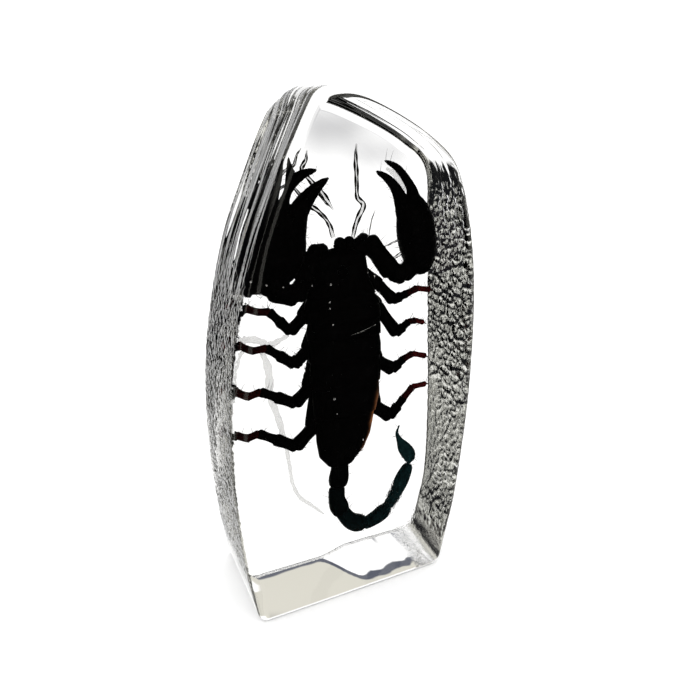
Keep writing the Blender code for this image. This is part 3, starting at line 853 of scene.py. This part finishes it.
def makeTail(material):
    found = []
    # edge is the tail's painted teal sheen: each segment towards the sting gets more of it, the sting most
    black, edge = np.array(shell["black"]), np.array(shell["paintedTailSheen"])
    least, *swell = tail["swell"]
    notchDepth, notchLength = tail["notch"]
    for number, joints in enumerate(tail["segments"], 1):
        path, radii = curvePath(np.insert(joints, 1, 0.0, axis=1), 8)
        shares = np.linspace(0, 1, len(path))
        ends = np.minimum(shares, 1 - shares)
        notch = notchDepth * np.clip(1 - ends / notchLength, 0, 1) ** 2
        radii *= (least + hill(shares, *swell)) * (1 - notch)
        tint = black + (edge - black) * (number / len(tail["segments"])) ** 2
        found.append(tube(path, radii, tail["sides"], 0.92, tail["keels"], tail["keelHeight"],
                          grain=0.05, tint=tint, power=2.3))
    path, radii = curvePath(np.insert(tail["sting"], 1, 0.0, axis=1), 8)
    radii[:4] *= np.linspace(0.4, 1.0, 4)
    found.append(tube(path, radii, 24, 0.95, grain=0.06, tint=edge * 1.3))
    return joined("scorpionTail", found, material)


hairs = {
    "seed": 5,
    "counts": (150, 420, 260, 90),  # on the trunk, legs, claws and tail
    "length": (0.5, 2.2),
    "radius": 0.045,
    "taper": (1, 0.9, 0.7, 0.45, 0.12),
    "scatter": 0.25,  # how unevenly they stand out
    "lift": 0.25,  # and lean upwards
    "bend": 0.12,
    "room": (1, 10, 6),  # off the walls, off the middle of the thickness, off the base
}


def wallsAt(z):
    # x of the left and the right wall of the block at a height
    rows = np.array([row[:2] for row in block["outline"]])
    left, right = rows[rows[:, 0] < 0], rows[rows[:, 0] > 0][::-1]
    return np.interp(z, left[:, 1], left[:, 0]), np.interp(z, right[:, 1], right[:, 0])


def makeHairs(pieces, material):
    # fine bristles standing out of the trunk, legs, claws and tail
    seeded = np.random.RandomState(hairs["seed"])
    share = np.linspace(-0.05, 1, len(hairs["taper"]))[:, None]  # rooted just under the skin
    clearance, reach, lowest = hairs["room"]
    found = []
    for piece, number in zip(pieces, hairs["counts"]):
        places, normals = vertexRows(piece.data, "co") / mm, vertexRows(piece.data, "normal")
        for k in seeded.randint(0, len(places), number):
            root, out = places[k], normals[k] + seeded.normal(0, hairs["scatter"], 3)
            out = unit(out) + (0, 0, hairs["lift"])
            length = seeded.uniform(*hairs["length"])
            tip = root + out * length
            left, right = wallsAt(tip[2])
            if not left + clearance < tip[0] < right - clearance or abs(tip[1]) > reach or tip[2] < lowest:
                continue
            bend = seeded.normal(0, hairs["bend"], 3) * length
            path = root + out * length * share + bend * share ** 2
            found.append(tube(path, hairs["radius"] * np.array(hairs["taper"]), 4))
    return joined("scorpionHairs", found, material)


# Dark threads put where thin air passages in the resin show dark rims, painted shade: x, y, z and half
# breadth along each
threads = {
    "paths": {
        "middle": [(2.1, -2, 98.6, 0.15), (1.9, -2, 95.4, 0.42), (2, -1.9, 92.2, 0.5),
                   (2.4, -1.6, 88.6, 0.45), (3.7, -1.4, 86.9, 0.4), (2.4, -1.2, 84.1, 0.5),
                   (1.5, -1, 80.4, 0.5)],
        "left": [(-11.4, 3.4, 92.4, 0.2), (-7.3, 3.2, 87.5, 0.4), (-4.8, 3, 85.5, 0.45),
                 (-2.8, 2.6, 83.3, 0.4), (-2.1, 2, 80.4, 0.4)],
        "feather": [(-7.2, 2.4, 97.4, 0.1), (-7.5, 2.4, 95.6, 0.35), (-8.5, 2.4, 93.9, 0.45),
                    (-6.3, 2.4, 91.5, 0.5), (-4, 2.4, 88.8, 0.5), (-1.9, 2.4, 86, 0.1)],
        "featherSide": [(-5.9, 2.2, 91.5, 0.1), (-4.9, 2.2, 89.4, 0.3), (-3.6, 2.2, 87.4, 0.2),
                        (-2.7, 2.2, 86.7, 0.05)],
        "curl": [(6.1, -2.5, 85.9, 0.02), (5.2, -2.5, 83.6, 0.08), (4.6, -2.4, 80.4, 0.1)],
        "rightArm": [(9, -1, 78.2, 0.1), (11, -1, 79, 0.1), (13.4, -1, 79.8, 0.1)],
        "rightArmLow": [(11, -1, 75.6, 0.25), (12.4, -1, 76.3, 0.25), (13.8, -1, 77, 0.25)],
    },
    "spanSteps": 10,
    "radius": 0.19,
    # the dark of the painted shade along the air passages
    "tint": (0.012, 0.012, 0.010),
    "swing": (0.75, 0.25, 0.23),  # how far the fibres keep apart, give or take, pace
    "stray": (0.3, 0.11),  # and stray to the front and back
    "swell": (0.6, 0.7, 0.37),  # least thickness, added thickness, pace
    "thinEnds": 6,
}


def makeThreads(material):
    # a thread is painted shade: two dark fibres winding slowly round each other along an air passage's rims
    found = []
    apart, sway, swayPace = threads["swing"]
    stray, strayPace = threads["stray"]
    least, more, swellPace = threads["swell"]
    for rows in threads["paths"].values():
        path, breadth = curvePath(rows, threads["spanSteps"])
        side, back = pathFrames(path)
        steps = np.arange(len(path))
        toEnd = np.minimum(steps + 1, len(path) - steps)
        for k, phase in enumerate((0.0, pi)):
            swing = breadth * (apart + sway * np.sin(steps * swayPace + phase + k)) * np.cos(phase)
            behind = stray * np.sin(steps * strayPace + phase)
            thick = threads["radius"] * (least + more * np.sin(steps * swellPace + 2 * k) ** 2)
            thick *= np.clip(breadth / 0.4, 0.45, 1.1) * np.clip(toEnd / threads["thinEnds"], 0.2, 1)
            fibre = path + side * swing[:, None] + back * behind[:, None]
            found.append(tube(fibre, thick, 8, tint=threads["tint"]))
    return joined("airPassageShade", found, material)


films = {
    "paths": {
        "leftUpper": [(-24.6, 2, 62, 0.75), (-19.7, 2, 60.7, 0.75), (-17.2, 2, 59.5, 0.65),
                      (-15.1, 2, 59.9, 0.6), (-12.8, 2, 60.9, 0.4)],
        "leftDown": [(-18.8, 2, 58.6, 0.5), (-17.5, 2, 54.2, 0.85), (-17.3, 2, 48.4, 0.85),
                     (-15.6, 2, 41.4, 0.7), (-14.5, 2, 35.5, 0.5), (-13.9, 2, 30.5, 0.45),
                     (-13.4, 2, 26.3, 0.4), (-11.9, 2, 22.6, 0.45), (-9.4, 2, 20, 0.4),
                     (-6.2, 2, 16.6, 0.2)],
        "betweenFingers": [(14.4, 0.6, 89.6, 0.6), (13, 0.6, 91.2, 0.8), (11.4, 0.6, 93, 0.6),
                           (9.6, 0.6, 94, 0.3)],
    },
    "depth": 0.12,  # of their breadth
    "ruffles": ((0.12, 0.9), (0.08, 2.3)),  # share of the breadth, pace
    "tint": (0.62, 0.61, 0.58, 1),
    "alpha": 0.27,
    "roughness": 0.6,
}


def filmMaterial():
    return newMaterial("filmPale", {"Base Color": films["tint"], "Alpha": films["alpha"],
                                    "Roughness": films["roughness"], "IOR": shell["ior"]})[0]


def makeFilms(material):
    # pale skins: one between the two fibres of each thread, a pale sheet standing in for the air passage's
    # light core, painted light; and those that drifted off alone
    found = []
    for rows in threads["paths"].values():
        path, breadth = curvePath(rows, threads["spanSteps"])
        found.append(tube(path + (0, 0.3, 0), breadth * 0.8 + 0.02, 12, films["depth"]))
    for rows in films["paths"].values():
        path, breadth = curvePath(rows, threads["spanSteps"])
        ruffled = 1 + sum(share * np.sin(np.arange(len(path)) * pace) for share, pace in films["ruffles"])
        found.append(tube(path, breadth * ruffled, 16, films["depth"]))
    return joined("filmsAndPaintedLightCores", found, material)


clearBlock = makeBlock(resinMaterial())
addAir(clearBlock)
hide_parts("resin_front_half", "resin_back_half")
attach(clearBlock, "root")
print("block made:", len(clearBlock.data.polygons), "faces")

shellBlack = shellMaterial()
scorpion = [make(shellBlack) for make in (makeTrunk, makeLegs, makeClaws, makeTail)]
scorpion.append(makeHairs(scorpion, shellBlack))
scorpion.append(makeThreads(shellBlack))
scorpion.append(makeFilms(filmMaterial()))
for piece in scorpion:
    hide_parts("scorpion")
    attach(piece, "root")
    print(piece.name, "made:", len(piece.data.polygons), "faces")


# Floor and light
studio = {
    "floorRadius": 3,  # metres
    "floorDrop": 0.00005,  # a hair of air under the block keeps its base bright
    "floorColour": (0.95, 0.95, 0.95, 1),
    "white": (1.6, 1.6, 1.6, 1),
    "room": (0.70, 0.69, 0.63, 1),
    # shown by the resin's reflections: azimuth from +Y to +X, half width, elevations, softness, colour
    "patches": {
        "under": (0, 180, -90, -62, 5, (0.1, 0.1, 0.1)),
        "backdrop": (27, 46, -90, 90, 6, (1.25, 1.25, 1.25)),
        "backdropTop": (27, 60, 36.5, 44, 1.5, (0.74, 0.72, 0.64)),
        "backdropEdge": (27, 60, 42.5, 50, 1, (0.1, 0.11, 0.15)),
        "warmCard": (50, 6, -16, 2, 3, (0.6, 0.53, 0.37)),
        "behindCamera": (154, 17, -38, 14, 4, (0.01, 0.01, 0.01)),
        "leftOfCamera": (-132, 30, -50, 30, 6, (0.02, 0.02, 0.02)),
        "darkSide": (-54, 33, -14, 26, 5, (0.01, 0.01, 0.012)),
        "midSide": (-62, 40, -31, -12, 4, (0.17, 0.17, 0.145)),
        "lowSide": (-62, 40, -62, -31, 4, (0.9, 0.9, 0.85)),
        "sideWindow": (-72, 9, -40, -9, 4, (1.1, 1.1, 1.03)),
        "sideStrip": (-40, 5, -46, -12, 3, (0.85, 0.85, 0.8)),
    },
    # a dark card that shows only on the walls' inner side, not in their outer gloss
    "innerPatch": (-26, 14, -28, 1, 3, (0.008, 0.008, 0.009)),
    # met by a straight look through the resin: an even backdrop with two faint clouds
    "backdrop": (1.25, 1.25, 1.25, 1),
    "clouds": {
        "upper": (24.2, 3.2, 2.6, 6.4, 2.2, (0.7, 0.7, 0.71)),
        "lower": (28.8, 2.6, 1.2, 3.4, 1.8, (0.8, 0.8, 0.81)),
    },
}


def makeFloor():
    shape = bmesh.new()
    bmesh.ops.create_circle(shape, cap_ends=True, radius=studio["floorRadius"], segments=96,
                            matrix=Matrix.Translation((0, 0, -studio["floorDrop"])))
    mesh = bpy.data.meshes.new("studioFloor")
    shape.to_mesh(mesh)
    shape.free()
    pale = {"Base Color": studio["floorColour"], "Roughness": 0.9}
    mesh.materials.append(newMaterial("paleFloor", pale)[0])
    floor = placed("studioFloor", mesh)
    floor.visible_glossy = False
    floor.visible_transmission = False


def mathNode(tree, operation, first, second=None):
    inputs = {0: first} if second is None else {0: first, 1: second}
    return addNode(tree, "Math", inputs, operation=operation).outputs["Value"]


def fade(tree, value, at, soft, unit=pi / 180):
    # eased from 0 to 1 over `soft` either side of `at`, both in degrees; from 1 to 0 where it is negative
    ends = {"Value": value, "From Min": (at - soft) * unit, "From Max": (at + soft) * unit}
    return addNode(tree, "MapRange", ends, interpolation_type="SMOOTHSTEP").outputs["Result"]


def mixNode(tree, share, first, second):
    # the colour sockets of this node come after its number and vector sockets
    node = addNode(tree, "Mix", {0: share, 6: first, 7: second}, data_type="RGBA")
    return node.outputs[2]


def layPatches(tree, turned, height, ground, patches, only=None):
    # patches of the studio over a ground colour, soft at their edges
    for azimuth, halfWidth, low, high, soft, colour in patches:
        axis = addNode(tree, "VectorMath", {
            0: turned, 1: (sin(radians(azimuth)), cos(radians(azimuth)), 0)}, operation="DOT_PRODUCT")
        share = fade(tree, mathNode(tree, "ARCCOSINE", axis.outputs["Value"]), halfWidth, -soft)
        for factor in (fade(tree, height, low, soft), fade(tree, height, high, -soft), only):
            if factor is not None:
                share = mathNode(tree, "MULTIPLY", share, factor)
        ground = mixNode(tree, share, ground, (*colour, 1.0))
    return ground


def makeWorld():
    # plain white to the eye and the floor; the resin alone sees the room and the backdrop
    world = bpy.data.worlds.new("studioWorld")
    bpy.context.scene.world = world
    world.use_nodes = True
    tree = world.node_tree
    place = addNode(tree, "TexCoord").outputs["Generated"]
    parts = addNode(tree, "SeparateXYZ", {"Vector": place}).outputs
    height = mathNode(tree, "ARCSINE", parts["Z"])
    level = addNode(tree, "CombineXYZ", {"X": parts["X"], "Y": parts["Y"]})
    turned = addNode(tree, "VectorMath", {0: level.outputs["Vector"]},
                     operation="NORMALIZE").outputs["Vector"]
    ray = addNode(tree, "LightPath").outputs
    room = layPatches(tree, turned, height, studio["room"], studio["patches"].values())
    room = layPatches(tree, turned, height, room, [studio["innerPatch"]], ray["Is Transmission Ray"])
    straight = layPatches(tree, turned, height, studio["backdrop"], studio["clouds"].values())
    reflected = fade(tree, ray["Glossy Depth"], 0.5, 0.3, 1.0)
    inResin = mathNode(tree, "MAXIMUM", ray["Is Transmission Ray"], ray["Is Glossy Ray"])
    seen = mixNode(tree, inResin, studio["white"], mixNode(tree, reflected, straight, room))
    fillInputs(tree, tree.nodes["Background"], {"Color": seen})


view = {
    "place": (-49.93, -111.01, 92.38),
    "azimuth": 25.64,  # turned this far towards +X from straight ahead
    "pitch": 17.17,  # looking down
    "roll": -0.5,
    "lens": 28.8,
}


def makeCamera():
    data = bpy.data.cameras.new("camera")
    data.lens = view["lens"]
    data.sensor_width = 36.0
    data.clip_start = 0.005
    camera = placed("camera", data)
    azimuth, pitch, roll = (radians(view[key]) for key in ("azimuth", "pitch", "roll"))
    ahead = Vector((sin(azimuth) * cos(pitch), cos(azimuth) * cos(pitch), -sin(pitch)))
    levelRight = Vector((cos(azimuth), -sin(azimuth), 0))
    levelUp = levelRight.cross(ahead)
    right = levelRight * cos(roll) + levelUp * sin(roll)
    up = levelUp * cos(roll) - levelRight * sin(roll)
    turned = Matrix((right, up, -ahead)).transposed().to_4x4()
    camera.matrix_world = Matrix.Translation(Vector(view["place"]) * mm) @ turned
    bpy.context.scene.camera = camera


makeFloor()
makeWorld()
makeCamera()
bpy.context.scene.view_settings.view_transform = "Standard"
print("studio made")
